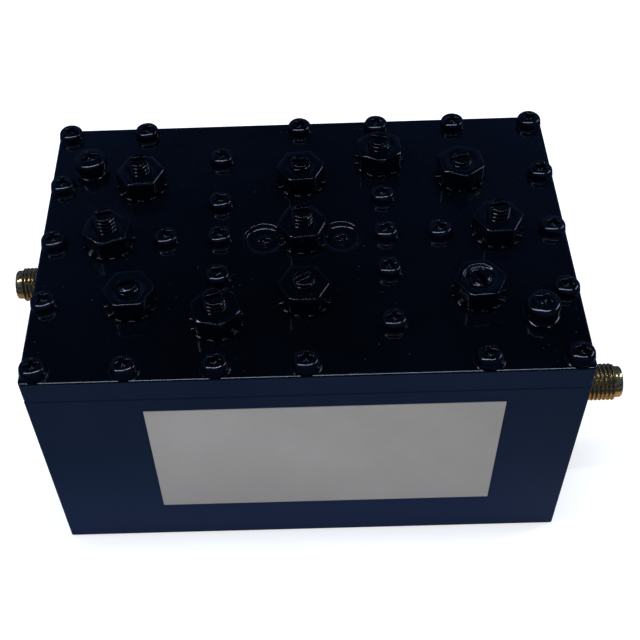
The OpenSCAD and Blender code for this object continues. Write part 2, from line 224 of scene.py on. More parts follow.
def thread_sweep(root, crest, pitch, low, high, steps, cuts):
    """A closed helical thread on the Z axis between two heights in mm, with ragged ends to trim off."""
    clear_selection()
    bpy.ops.mesh.primitive_plane_add(size=pitch * MM, rotation=(math.pi / 2, 0, 0))
    piece = settle(bpy.context.object, "thread")
    edit(piece)
    pick("VERT", lambda point: point.x > 0)
    bpy.ops.mesh.delete(type="VERT")
    bpy.ops.mesh.select_all(action="SELECT")
    bpy.ops.mesh.subdivide(number_cuts=cuts)
    start = Vector(((root + pitch / 2) * MM, 0, low * MM))
    bpy.ops.mesh.select_all(action="SELECT")
    bpy.ops.transform.translate(value=start)
    step = pitch * MM / (cuts + 1)
    for ring in range(1, cuts + 1):
        level = low * MM - pitch * MM / 2 + ring * step
        rise = 0.5 - 0.5 * math.cos(FULL_TURN * ring / (cuts + 1))
        pick("VERT", lambda point: abs(point.z - level) < step / 4)
        bpy.ops.transform.translate(value=((crest - root) * MM * rise, 0, 0))
    bpy.ops.object.mode_set(mode="OBJECT")
    turns = math.ceil((high - low) / pitch) + 1
    finish_with(piece, "SCREW", axis="Z", steps=steps, render_steps=steps, screw_offset=pitch * MM,
                iterations=turns, use_merge_vertices=True, merge_threshold=1e-7)
    edit(piece)
    bpy.ops.mesh.select_all(action="SELECT")
    bpy.ops.mesh.remove_doubles(threshold=1e-7)
    middle = (low + high) / 2 * MM
    for below in (True, False):
        bpy.ops.mesh.select_mode(type="EDGE")
        mesh = bmesh.from_edit_mesh(piece.data)
        bpy.ops.mesh.select_all(action="DESELECT")
        for border in mesh.edges:
            if border.is_boundary and (border.verts[0].co.z < middle) == below:
                border.select_set(True)
        bmesh.update_edit_mesh(piece.data)
        bpy.ops.mesh.extrude_edges_move(TRANSFORM_OT_translate={"value": (0, 0, 0)})
        bpy.ops.mesh.merge(type="CENTER")
    done()
    return piece


def threaded(name, outline, root, crest, pitch, steps=24, cuts=5):
    """A turned solid whose full width carries a real helical thread."""
    heights = [point[1] for point in outline]
    low, high = min(heights) - 1.5 * pitch, max(heights) + 1.5 * pitch
    piece = thread_sweep(root, crest, pitch, low, high, steps, cuts)
    combine(piece, turned("trim", outline, 2 * steps), "INTERSECT")
    return settle(piece, name)


# Materials

def node_group(name, inputs, outputs):
    """An empty shader group with these named inputs and outputs."""
    group = bpy.data.node_groups.new(name, "ShaderNodeTree")
    for label, value in inputs:
        socket = group.interface.new_socket(name=label, in_out="INPUT", socket_type="NodeSocketFloat")
        socket.default_value = value
    for label in outputs:
        group.interface.new_socket(name=label, in_out="OUTPUT", socket_type="NodeSocketFloat")
    entry = group.nodes.new("NodeGroupInput")
    leave = group.nodes.new("NodeGroupOutput")
    return group, entry, leave


def add_math(tree, operation, first, second=None, clamp=False):
    """A Math node on two values or sockets; returns its output."""
    node = tree.nodes.new("ShaderNodeMath")
    node.operation = operation
    node.use_clamp = clamp
    for socket, value in zip(node.inputs, (first, second)):
        if value is None:
            continue
        if isinstance(value, (int, float)):
            socket.default_value = value
        else:
            tree.links.new(value, socket)
    return node.outputs[0]


def add_noise(tree, vector, scale, detail, roughness=0.5):
    """A Noise Texture; scale is a number or a socket. Returns its value output."""
    node = tree.nodes.new("ShaderNodeTexNoise")
    node.inputs["Detail"].default_value = detail
    node.inputs["Roughness"].default_value = roughness
    if isinstance(scale, (int, float)):
        node.inputs["Scale"].default_value = scale
    else:
        tree.links.new(scale, node.inputs["Scale"])
    tree.links.new(vector, node.inputs["Vector"])
    return node.outputs[0]


def add_range(tree, value, from_low, from_high, to_low, to_high, smooth=False):
    """A clamped Map Range node; returns its output."""
    node = tree.nodes.new("ShaderNodeMapRange")
    if smooth:
        node.interpolation_type = "SMOOTHSTEP"
    tree.links.new(value, node.inputs["Value"])
    node.inputs["From Min"].default_value = from_low
    node.inputs["From Max"].default_value = from_high
    node.inputs["To Min"].default_value = to_low
    node.inputs["To Max"].default_value = to_high
    return node.outputs[0]


def add_mix(tree, factor, first, second):
    """Mixes two colours by a mask; returns the colour output."""
    node = tree.nodes.new("ShaderNodeMix")
    node.data_type = "RGBA"
    tree.links.new(factor, node.inputs[0])
    for socket, value in ((node.inputs[6], first), (node.inputs[7], second)):
        if isinstance(value, tuple):
            socket.default_value = value + (1,)
        else:
            tree.links.new(value, socket)
    return node.outputs[2]


def make_orange_peel():
    """Low ripples of sprayed paint: a fine pebbling over a slow wave."""
    group, entry, leave = node_group("orange peel", [("Pebble Scale", 900), ("Wave Scale", 110)], ["Height"])
    place = group.nodes.new("ShaderNodeTexCoord").outputs["Object"]
    pebble = add_noise(group, place, entry.outputs["Pebble Scale"], 1)
    wave = add_noise(group, place, entry.outputs["Wave Scale"], 2)
    height = add_math(group, "ADD", add_math(group, "MULTIPLY", pebble, 0.25), wave)
    group.links.new(height, leave.inputs["Height"])
    return group


def make_dust():
    """Pale specks scattered at random, about one cell in three."""
    group, entry, leave = node_group("dust specks", [("Speck Scale", 900), ("Speck Size", 0.11)], ["Mask"])
    place = group.nodes.new("ShaderNodeTexCoord").outputs["Object"]
    cells = group.nodes.new("ShaderNodeTexVoronoi")
    group.links.new(place, cells.inputs["Vector"])
    group.links.new(entry.outputs["Speck Scale"], cells.inputs["Scale"])
    apart = group.nodes.new("ShaderNodeSeparateColor")
    group.links.new(cells.outputs["Color"], apart.inputs[0])
    size = add_math(group, "MULTIPLY", entry.outputs["Speck Size"], apart.outputs[0])
    near = add_math(group, "LESS_THAN", cells.outputs["Distance"], size)
    chosen = add_math(group, "GREATER_THAN", apart.outputs[1], 0.5)
    patches = add_range(group, add_noise(group, place, 45, 2), 0.42, 0.62, 0.15, 1)
    mask = add_math(group, "MULTIPLY", add_math(group, "MULTIPLY", near, chosen), patches)
    group.links.new(mask, leave.inputs["Mask"])
    return group


def make_drift():
    """A slow change of tone over the surface."""
    group, entry, leave = node_group("tone drift", [("Drift Scale", 30)], ["Mask"])
    place = group.nodes.new("ShaderNodeTexCoord").outputs["Object"]
    clouds = add_noise(group, place, entry.outputs["Drift Scale"], 4, 0.6)
    group.links.new(add_range(group, clouds, 0.35, 0.65, 0, 1), leave.inputs["Mask"])
    return group


def make_scuffs():
    """Fine scratches left by handling: stretched noise, in two directions."""
    group, entry, leave = node_group("handling scuffs", [("Scuff Scale", 300)], ["Mask"])
    place = group.nodes.new("ShaderNodeTexCoord").outputs["Object"]
    masks = []
    for turn, stretch in ((0.4, 14), (-0.7, 9)):
        mapping = group.nodes.new("ShaderNodeMapping")
        mapping.inputs["Rotation"].default_value = (0.3, turn, turn)
        mapping.inputs["Scale"].default_value = (1, stretch, stretch)
        group.links.new(place, mapping.inputs["Vector"])
        lines = add_noise(group, mapping.outputs[0], entry.outputs["Scuff Scale"], 2)
        masks.append(add_range(group, lines, 0.6, 0.72, 0, 1))
    group.links.new(add_math(group, "MAXIMUM", masks[0], masks[1]), leave.inputs["Mask"])
    return group


def make_inside():
    """1 on the faces that lie inside the painted shell, where the metal is plated."""
    group, entry, leave = node_group("inside the shell", [("Skin", 0.0006)], ["Mask"])
    place = group.nodes.new("ShaderNodeTexCoord").outputs["Object"]
    apart = group.nodes.new("ShaderNodeSeparateXYZ")
    group.links.new(place, apart.inputs[0])
    skin = entry.outputs["Skin"]
    inside = None
    for axis, reach in ((0, housing_high.x), (1, housing_high.y)):
        limit = add_math(group, "SUBTRACT", reach, skin)
        within = add_math(group, "LESS_THAN", add_math(group, "ABSOLUTE", apart.outputs[axis]), limit)
        inside = within if inside is None else add_math(group, "MULTIPLY", inside, within)
    above = add_math(group, "GREATER_THAN", apart.outputs[2], skin)
    roof = add_math(group, "ADD", cover_under, skin)
    below = add_math(group, "LESS_THAN", apart.outputs[2], roof)
    inside = add_math(group, "MULTIPLY", inside, add_math(group, "MULTIPLY", above, below))
    group.links.new(inside, leave.inputs["Mask"])
    return group


ORANGE_PEEL = make_orange_peel()
DUST = make_dust()
DRIFT = make_drift()
SCUFFS = make_scuffs()
INSIDE = make_inside()


def place_group(tree, group, **values):
    """Puts a shared group in a material with its own values; returns its first output."""
    node = tree.nodes.new("ShaderNodeGroup")
    node.node_tree = group
    for label, value in values.items():
        node.inputs[label.replace("_", " ")].default_value = value
    return node.outputs[0]


def add_bump(tree, height, strength, distance):
    """A Bump node on a height; returns its normal."""
    node = tree.nodes.new("ShaderNodeBump")
    node.inputs["Strength"].default_value = strength
    node.inputs["Distance"].default_value = distance
    tree.links.new(height, node.inputs["Height"])
    return node.outputs[0]


def new_material(name):
    """A material with only its Principled shader."""
    material = bpy.data.materials.new(name)
    material.use_nodes = True
    tree = material.node_tree
    return material, tree, tree.nodes["Principled BSDF"]


def paint_material(name, deep, light, speck, roughness, index, dust_size, foot=None, plated_inside=False):
    """Sprayed navy paint with orange peel, slow tone change and dust, over plated metal; a foot colour,
    where given, is painted bounce light, lighter towards the bottom.
    """
    material, tree, shader = new_material(name)
    drift = place_group(tree, DRIFT, Drift_Scale=26)
    colour = add_mix(tree, drift, deep, light)
    # Painted bounce light: below 32 mm the colour fades to the lighter foot colour, as if lit from the white
    # floor.
    if foot:
        apart = tree.nodes.new("ShaderNodeSeparateXYZ")
        tree.links.new(tree.nodes.new("ShaderNodeTexCoord").outputs["Object"], apart.inputs[0])
        low = add_range(tree, apart.outputs[2], 0.032, 0.0, 0, 1, smooth=True)
        colour = add_mix(tree, low, colour, foot)
    dust = place_group(tree, DUST, Speck_Size=dust_size)
    colour = add_mix(tree, dust, colour, speck)
    gloss = add_range(tree, drift, 0, 1, roughness * 0.85, roughness * 1.15)
    gloss = add_math(tree, "ADD", gloss, add_math(tree, "MULTIPLY", dust, 0.3), clamp=True)
    peel = place_group(tree, ORANGE_PEEL)
    if plated_inside:
        inside = place_group(tree, INSIDE)
        colour = add_mix(tree, inside, colour, (0.82, 0.81, 0.79))
        tree.links.new(inside, shader.inputs["Metallic"])
        gloss = add_math(tree, "ADD", gloss, add_math(tree, "MULTIPLY", inside, 0.12), clamp=True)
    tree.links.new(colour, shader.inputs["Base Color"])
    tree.links.new(gloss, shader.inputs["Roughness"])
    tree.links.new(add_bump(tree, peel, 0.25, 0.0002), shader.inputs["Normal"])
    shader.inputs["IOR"].default_value = index
    return material


def metal_material(name, bright, dull, roughness, scuff_strength=0.15):
    """Plated metal: slightly uneven in tone, with fine handling scuffs."""
    material, tree, shader = new_material(name)
    drift = place_group(tree, DRIFT, Drift_Scale=90)
    scuffs = place_group(tree, SCUFFS)
    tree.links.new(add_mix(tree, drift, bright, dull), shader.inputs["Base Color"])
    gloss = add_range(tree, drift, 0, 1, roughness * 0.8, roughness * 1.3)
    gloss = add_math(tree, "ADD", gloss, add_math(tree, "MULTIPLY", scuffs, 0.12), clamp=True)
    tree.links.new(gloss, shader.inputs["Roughness"])
    tree.links.new(add_bump(tree, scuffs, scuff_strength, 0.00002), shader.inputs["Normal"])
    shader.inputs["Metallic"].default_value = 1
    return material


def label_material():
    """Matt silver-grey film with a faint mottle and a soft grain."""
    material, tree, shader = new_material("label film")
    drift = place_group(tree, DRIFT, Drift_Scale=70)
    fine = place_group(tree, DRIFT, Drift_Scale=900)
    colour = add_mix(tree, drift, (0.365, 0.342, 0.320), (0.388, 0.370, 0.345))
    colour = add_mix(tree, add_math(tree, "MULTIPLY", fine, 0.25), colour, (0.415, 0.395, 0.370))
    tree.links.new(colour, shader.inputs["Base Color"])
    tree.links.new(add_range(tree, fine, 0, 1, 0.5, 0.62), shader.inputs["Roughness"])
    tree.links.new(add_bump(tree, fine, 0.12, 0.00003), shader.inputs["Normal"])
    shader.inputs["Specular IOR Level"].default_value = 0.2
    return material


def insulator_material():
    """White plastic with a waxy surface and faint turning marks."""
    material, tree, shader = new_material("white insulator")
    drift = place_group(tree, DRIFT, Drift_Scale=260)
    tree.links.new(add_mix(tree, drift, (0.86, 0.85, 0.82), (0.8, 0.79, 0.75)), shader.inputs["Base Color"])
    tree.links.new(add_range(tree, drift, 0, 1, 0.42, 0.55), shader.inputs["Roughness"])
    scuffs = place_group(tree, SCUFFS, Scuff_Scale=500)
    tree.links.new(add_bump(tree, scuffs, 0.1, 0.00002), shader.inputs["Normal"])
    return material


GLOSS_NAVY = paint_material("gloss navy paint", (0.0003, 0.0008, 0.0018), (0.0006, 0.0014, 0.0036),
                            (0.022, 0.028, 0.045), 0.13, 1.38, 0.10)
# The satin paint's colour is many times lighter than the gloss paint's. Over the real navy it carries a
# painted reflection of the white floor, which stands in for the sheen that its low IOR leaves out.
# The satin paint's foot colour is painted bounce light from the floor, lighter towards the bottom.
SATIN_NAVY_WITH_PAINTED_SHEEN = paint_material("satin navy paint with painted sheen", (0.0080, 0.0160, 0.0375), (0.0104, 0.0208, 0.0465),
                            (0.02, 0.028, 0.045), 0.42, 1.08, 0.05,
                            foot=(0.0165, 0.0275, 0.066), plated_inside=True)
SILVER = metal_material("silver plating", (0.88, 0.87, 0.85), (0.8, 0.79, 0.76), 0.22)
GOLD = metal_material("gold plating", (0.79, 0.55, 0.23), (0.64, 0.43, 0.16), 0.17, 0.05)
STEEL = metal_material("bright steel", (0.62, 0.62, 0.61), (0.52, 0.52, 0.52), 0.24)
COPPER = metal_material("tinned copper", (0.84, 0.5, 0.33), (0.72, 0.56, 0.46), 0.3)
LABEL_FILM = label_material()
INSULATOR = insulator_material()


def dress(piece, material, slot, *nodes):
    """Gives a finished piece its material, hangs it under the root body and hides the CAD nodes it stands
    for.
    """
    piece.data.materials.clear()
    piece.data.materials.append(material)
    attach(piece, "root")
    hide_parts(*nodes)


# Screws

PAINT_SKIRT = 0.36
FRONT_SKIRT = 0.45
# Share of the skirt's width, and height in mm, from the head down to the cover
FLAT_FOOT = [(0.3, 0.14), (0.7, 0.035), (1.05, -0.03)]
STEEP_FOOT = [(0.25, 0.20), (0.6, 0.08), (0.9, -0.05)]
# The rows along the cover's edges lie further out than this, in mm
EDGE_ROW_X = 38
EDGE_ROW_Y = 24


def pan_head(name, width, height, skirt, foot_shape):
    """A cross-recess pan head under paint, on a skirt where the paint has run up its side."""
    radius = width / 2
    rim = 0.72 * radius
    reach = 0.58 * radius
    wing = 0.15 * radius
    clear_selection()
    bpy.ops.mesh.primitive_grid_add(x_subdivisions=5, y_subdivisions=5, size=2 * rim * MM,
                                    location=(0, 0, (height - 0.14) * MM))
    head = bpy.context.object
    settle(head, name)
    edit(head)
    line = 2 * rim / 5 * MM

    def ring_of(point):
        return max(abs(point.x), abs(point.y))

    for axis in (0, 1):
        for old, new in ((0.5, wing), (1.5, reach)):
            factor = new * MM / (old * line)
            pick("VERT", lambda point: abs(abs(point[axis]) - old * line) < 0.2 * line
                 and ring_of(point) < 2.2 * line)
            scale = (factor, 1, 1) if axis == 0 else (1, factor, 1)
            bpy.ops.transform.resize(value=scale, center_override=(0, 0, 0))
    pick("VERT", lambda point: min(abs(point.x), abs(point.y)) > 0.9 * reach * MM
         and ring_of(point) < 2.2 * line)
    bpy.ops.transform.resize(value=(0.70, 0.70, 1), center_override=(0, 0, 0))
    pick("VERT", lambda point: ring_of(point) > 2.2 * line)
    bpy.ops.transform.tosphere(value=1)
    mesh = bmesh.from_edit_mesh(head.data)
    rim_now = max(v.co.xy.length for v in mesh.verts if v.select)
    bpy.ops.transform.resize(value=(rim * MM / rim_now, rim * MM / rim_now, 1), center_override=(0, 0, 0))
    pick("VERT", lambda point: point.xy.length < 0.9 * rim * MM)
    bpy.ops.transform.translate(value=(0, 0, 0.09 * MM))
    pick("VERT", lambda point: point.xy.length < 0.5 * reach * MM)
    bpy.ops.transform.translate(value=(0, 0, 0.05 * MM))

    pick("FACE", lambda point: min(abs(point.x), abs(point.y)) < wing * MM * 0.5
         and ring_of(point) < reach * MM)
    for depth, taper in ((0.14, 0.94), (0.5 * height, 0.55)):
        bpy.ops.mesh.extrude_region_move(TRANSFORM_OT_translate={"value": (0, 0, -depth * MM)})
        bpy.ops.transform.resize(value=(taper, taper, 1), center_override=(0, 0, 0))

    pick("EDGE", lambda point: point.xy.length > 0.93 * rim * MM)
    now_radius, now_height = rim, height - 0.14
    foot = min(0.42, 0.25 * height)
    sides = [(0.86 * radius, height - 0.30), (0.95 * radius, height - 0.54),
             (0.975 * radius, (height - 0.54 + foot) / 2), (radius + 0.05 * skirt, foot)]
    sides += [(radius + share * skirt, level) for share, level in foot_shape]
    sides.append((radius, -0.14))
    for next_radius, next_height in sides:
        drop = (0, 0, (next_height - now_height) * MM)
        bpy.ops.mesh.extrude_edges_move(TRANSFORM_OT_translate={"value": drop})
        growth = next_radius / now_radius
        bpy.ops.transform.resize(value=(growth, growth, 1), center_override=(0, 0, 0))
        now_radius, now_height = next_radius, next_height
    bpy.ops.mesh.edge_face_add()
    done()
    finish_with(head, "SUBSURF", levels=2, render_levels=2)
    return smooth_over(head, 60)


def screw(name, width, height, shank_width, shank_length, thread_length, skirt=PAINT_SKIRT,
          foot_shape=STEEP_FOOT):
    """A whole screw, with the underside of its head at the origin."""
    head = pan_head("head", width, height, skirt, foot_shape)
    crest = shank_width / 2
    tip = -shank_length
    plain = turned("plain shank", [(crest * 0.86, tip + thread_length), (crest * 0.86, -0.05)], 12)
    thread_shape = [(crest * 0.7, tip), (crest, tip + 0.4), (crest, tip + thread_length + 0.1)]
    thread = threaded("thread", thread_shape, 0.76 * crest, crest, 0.45, steps=10, cuts=1)
    smooth_over(thread, 60)
    return join_all([head, plain, thread], name)


def make_cover_screws():
    """The small screws along the cover's edges and over its webs, each turned its own way."""
    random.seed(11)
    pattern = screw("pattern", 4.3, 1.85, 2.18, 10.7, 6)
    front_pattern = screw("front pattern", 4.3, 1.85, 2.18, 10.7, 6, FRONT_SKIRT, FLAT_FOOT)
    along_edges, over_webs = [], []
    for middle in solid_middles("cover_screws"):
        place = Vector((middle.x, middle.y, cover_top))
        source = front_pattern if middle.y < -EDGE_ROW_Y * MM else pattern
        on_edge = abs(middle.x) > EDGE_ROW_X * MM or abs(middle.y) > EDGE_ROW_Y * MM
        row = along_edges if on_edge else over_webs
        row.append(copy_at(source, "screw", place, random.uniform(0, FULL_TURN)))
    discard(pattern)
    discard(front_pattern)
    dress(join_all(over_webs, "web_screws_painted"), GLOSS_NAVY, "navy_paint", "cover_screws")
    screws = join_all(along_edges, "edge_screws_painted")
    edit(screws)
    # The skirts stop short of the cover's rounded edge
    skirt_top = cover_top + 0.30 * MM
    for axis, side in ((0, 1), (0, -1), (1, 1), (1, -1)):
        wall = side * (cover_high[axis] - 0.42 * MM)
        pick("VERT", lambda point: side * point[axis] > side * wall and point.z < skirt_top)
        flat = (0, 1, 1) if axis == 0 else (1, 0, 1)
        middle = (wall, 0, 0) if axis == 0 else (0, wall, 0)
        bpy.ops.transform.resize(value=flat, center_override=middle)
    bpy.ops.object.mode_set(mode="OBJECT")
    dress(screws, GLOSS_NAVY, "navy_paint", "cover_screws")


# How far under the cover's top the recessed heads sit, in mm
POCKET_SEAT = 1.7


def make_recessed_screws():
    """The two screws down in their pockets beside the middle nut."""
    pattern = screw("pattern", 4.2, 1.1, 2.18, 9.0, 6, skirt=0.2)
    copies = []
    for turn, middle in enumerate(solid_middles("recessed_screws")):
        place = Vector((middle.x, middle.y, cover_top - POCKET_SEAT * MM))
        copies.append(copy_at(pattern, "screw", place, 0.35 + 0.9 * turn))
    discard(pattern)
    dress(join_all(copies, "recessed_screws_painted"), GLOSS_NAVY, "navy_paint", "recessed_screws")


def make_port_screws():
    """The two larger screws that stand on collars near the jacks."""
    pattern = screw("pattern", 5.7, 1.85, 2.84, 15.3, 12, skirt=0.05)
    for side, turn in (("left", 0.5), ("right", 1.0)):
        node = "port_screw_" + side
        seat = place_in_plan(node, cover_top + 1.3 * MM)
        piece = copy_at(pattern, node + "_painted", seat, turn)
        if side == "left":
            # A driver has slipped on this one and dented its front
            dent = seat + Vector((0.55, -0.75, 1.8)) * MM
            edit(piece)
            pick("VERT", lambda point: (point - dent).length < 0.25 * MM)
            bpy.ops.transform.translate(value=(0, 0, -0.28 * MM), use_proportional_edit=True,
                                        proportional_edit_falloff="SMOOTH", proportional_size=1.1 * MM)
            bpy.ops.object.mode_set(mode="OBJECT")
        dress(piece, GLOSS_NAVY, "navy_paint", node)
    discard(pattern)


def make_collars():
    """Round collars with a run of paint at the foot."""
    outline = [(1.46, 0.0), (2.95, -0.1), (2.95, 0.0), (2.62, 0.08), (2.44, 0.25), (2.4, 0.5),
               (2.38, 1.15), (2.2, 1.3), (1.46, 1.3), (1.46, 0.0)]
    pattern = smooth_over(turned("pattern", outline, 40, ring=True), 50)
    copies = []
    for middle in solid_middles("port_collars"):
        copies.append(copy_at(pattern, "collar", Vector((middle.x, middle.y, cover_top))))
    discard(pattern)
    dress(join_all(copies, "port_collars_painted"), GLOSS_NAVY, "navy_paint", "port_collars")


# Studs, nuts and washers

NUT_FLATS = 7.2
NUT_THICK = 3.0
NUT_BORE = 1.8
STUD_CREST = 1.75
STUD_ROOT = 1.16
STUD_PITCH = 0.794
STUD_LENGTH = 22.2
STUD_TOP_LENGTH = 4.4
WASHER_TEETH = 12
# The two studs whose slots the paint has left open
OPEN_STUDS = ("tuning_stud_2", "tuning_stud_6")


def draw_ring(scale, rise):
    """Draws the open edge ring on: raised by so many mm, then scaled about the axis."""
    bpy.ops.mesh.extrude_edges_move(TRANSFORM_OT_translate={"value": (0, 0, rise * MM)})
    bpy.ops.transform.resize(value=(scale, scale, 1), center_override=(0, 0, 0))


def hex_nut(name, sink, dish, edge=0.20, turned_off=1.06):
    """A nut with turned-off corners and a bore countersunk by dish mm, its top edges softened by paint."""
    apothem = NUT_FLATS / 2
    corner = apothem / math.cos(math.pi / 6)
    flat_radii = [math.hypot(apothem, along * corner / 2) for along in (0, 0.25, 0.5, 0.75, 1)]
    top_radii = [min(radius - edge, turned_off * apothem) for radius in flat_radii]
    clear_selection()
    bpy.ops.mesh.primitive_circle_add(vertices=6, radius=corner * MM, rotation=(0, 0, math.pi / 6))
    nut = settle(bpy.context.object, name)
    edit(nut)
    bpy.ops.mesh.select_all(action="SELECT")
    bpy.ops.mesh.subdivide(number_cuts=7)
    bpy.ops.mesh.select_mode(type="EDGE")
    bpy.ops.mesh.select_all(action="SELECT")
    draw_ring(1, NUT_THICK)
    for flat_radius, top_radius in zip(flat_radii, top_radii):
        pick("VERT", lambda point: point.z > 0.5 * MM
             and abs(point.xy.length - flat_radius * MM) < 0.01 * MM)
        fall = (flat_radius - top_radius) * math.tan(math.pi / 6)
        bpy.ops.transform.translate(value=(0, 0, -fall * MM))
    pick("EDGE", lambda point: point.z > (NUT_THICK - 0.6) * MM)
    bpy.ops.mesh.extrude_edges_move(TRANSFORM_OT_translate={"value": (0, 0, 0)})
    bpy.ops.transform.resize(value=(1, 1, 0), center_override=(0, 0, NUT_THICK * MM))
    for flat_radius, top_radius in zip(flat_radii, top_radii):
        pick("VERT", lambda point: point.z > (NUT_THICK - 0.01) * MM
             and abs(point.xy.length - flat_radius * MM) < 0.01 * MM)
        growth = top_radius / flat_radius
        bpy.ops.transform.resize(value=(growth, growth, 1), center_override=(0, 0, 0))
    pick("EDGE", lambda point: point.z > (NUT_THICK - 0.01) * MM)
    bpy.ops.mesh.extrude_edges_move(TRANSFORM_OT_translate={"value": (0, 0, 0)})
    bpy.ops.transform.tosphere(value=1)
    mesh = bmesh.from_edit_mesh(nut.data)
    growth = sink * MM / max(v.co.xy.length for v in mesh.verts if v.select)
    bpy.ops.transform.resize(value=(growth, growth, 1), center_override=(0, 0, 0))
    floor = sink - 0.35
    draw_ring(floor / sink, -0.75 * dish)
    draw_ring(NUT_BORE / floor, -0.25 * dish)
    draw_ring(1, dish - NUT_THICK)
    bpy.ops.mesh.select_all(action="DESELECT")
    bpy.ops.mesh.select_non_manifold()
    bpy.ops.mesh.bridge_edge_loops()
    done()
    edit(nut)
    bpy.ops.mesh.select_mode(type="EDGE")
    bpy.ops.mesh.select_all(action="DESELECT")
    bpy.ops.mesh.edges_select_sharp(sharpness=math.radians(22))
    # Only the edges round the top are beveled: the upright ones stay crisp
    mesh = bmesh.from_edit_mesh(nut.data)
    for border in mesh.edges:
        middle = (border.verts[0].co.z + border.verts[1].co.z) / 2
        if border.select and middle < (NUT_THICK - 0.6) * MM:
            border.select_set(False)
    bmesh.update_edit_mesh(nut.data)
    bpy.ops.transform.edge_bevelweight(value=1)
    bpy.ops.object.mode_set(mode="OBJECT")
    finish_with(nut, "BEVEL", width=0.19 * MM, segments=3, limit_method="WEIGHT", harden_normals=True)
    return smooth_over(nut, 35)


def star_washer(name):
    """A lock washer whose rim carries twisted teeth, rounded over by the paint."""
    ring = turned("ring", [(1.95, -0.25), (3.44, -0.25), (3.44, 0.25), (1.95, 0.25), (1.95, -0.25)], 48,
                  ring=True)
    clear_selection()
    bpy.ops.mesh.primitive_cube_add(size=1, location=(3.72 * MM, 0, 0), rotation=(math.radians(-8), 0, 0),
                                    scale=(1.16 * MM, 1.1 * MM, 0.5 * MM))
    tooth = settle(bpy.context.object, "tooth")
    teeth = [copy_at(tooth, "tooth", Vector(), FULL_TURN * step / WASHER_TEETH)
             for step in range(WASHER_TEETH)]
    discard(tooth)
    washer = join_all([ring] + teeth, name)
    finish_with(washer, "REMESH", mode="VOXEL", voxel_size=0.113 * MM)
    finish_with(washer, "SMOOTH", factor=0.5, iterations=4)
    return smooth_over(washer, 60)


def stud_pattern(name, slot_width, slot_depth, slope):
    """A slotted stud with its end at the origin; the paint there slopes by some degrees."""
    length = STUD_TOP_LENGTH
    crest = STUD_CREST + 0.05
    drop = 1.5 * math.sin(math.radians(slope))
    end = [(crest, -length), (crest, -0.32 - drop), (crest - 0.28, -0.02 - drop), (crest - 0.28, 0)]
    top = threaded("top", end, STUD_ROOT, crest, STUD_PITCH)
    finish_with(top, "REMESH", mode="VOXEL", voxel_size=0.06 * MM)
    beside = slot_width / 2 * MM
    combine(top, block("slot", (-3 * MM, -beside, -slot_depth * MM), (3 * MM, beside, 1 * MM)), "DIFFERENCE")
    if slope:
        cap = block("cap", (-3 * MM, -3 * MM, 0), (3 * MM, 3 * MM, 2 * MM))
        cap.rotation_euler = (math.radians(slope), 0, 0)
        cap.location = (0, 0, -drop * MM)
        combine(top, settle(cap, "cap"), "DIFFERENCE")
    finish_with(top, "REMESH", mode="VOXEL", voxel_size=0.06 * MM)
    finish_with(top, "SMOOTH", factor=0.5, iterations=2)
    rod = [(STUD_CREST - 0.3, -STUD_LENGTH), (STUD_CREST, -STUD_LENGTH + 0.5), (STUD_CREST, -length + 0.1)]
    lower = threaded("lower", rod, STUD_ROOT, STUD_CREST, STUD_PITCH, steps=14, cuts=1)
    smooth_over(top, 60)
    smooth_over(lower, 60)
    return join_all([top, lower], name)


def make_tuning_hardware():
    """A stud, its nut and its washer at each of the eleven places."""
    studs = [stud_pattern("stud pattern", 0.76, 1.0, 4), stud_pattern("open stud pattern", 0.84, 1.2, 0)]
    nuts = [hex_nut("nut pattern", 2.1, 0.12),
            hex_nut("dished nut pattern", 2.7, 0.13),
            hex_nut("deeply dished nut pattern", 2.8, 0.40),
            hex_nut("soft nut pattern", 2.1, 0.12, turned_off=1.01),
            hex_nut("broad-edged nut pattern", 2.1, 0.12, edge=0.34)]
    # Which of the nuts each stud has, where it isn't the first
    kinds = {"tuning_stud_2": 1, "tuning_stud_6": 2, "coupling_stud_1": 3, "coupling_stud_2": 3,
             "coupling_stud_4": 3, "tuning_stud_1": 4}
    washer = star_washer("washer pattern")
    names = ["tuning_stud_%d" % i for i in range(1, 7)] + ["coupling_stud_%d" % i for i in range(1, 6)]
    slots = TUNING_SLOT_TURNS + COUPLING_SLOT_TURNS
    turns = TUNING_NUT_TURNS + COUPLING_NUT_TURNS
    washers = []
    for number, node in enumerate(names):
        place = place_in_plan(node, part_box(node)[1].z)
        pattern = studs[1] if node in OPEN_STUDS else studs[0]
        piece = copy_at(pattern, node + "_painted", place, math.radians(slots[number]))
        dress(piece, GLOSS_NAVY, "navy_paint", node)
        nut_node = "lock_nut_%d" % (number + 1)
        seat = place_in_plan(nut_node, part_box(nut_node)[0].z)
        pattern = nuts[kinds.get(node, 0)]
        piece = copy_at(pattern, nut_node + "_painted", seat, math.radians(turns[number]))
        dress(piece, GLOSS_NAVY, "navy_paint", nut_node)
        bed = Vector((place.x, place.y, (cover_top + seat.z) / 2))
        washers.append(copy_at(washer, "washer", bed, math.radians(7 * number)))
    for pattern in studs + nuts + [washer]:
        discard(pattern)
    dress(join_all(washers, "star_washers_painted"), GLOSS_NAVY, "navy_paint", "star_washers")


# Cover, label and jacks

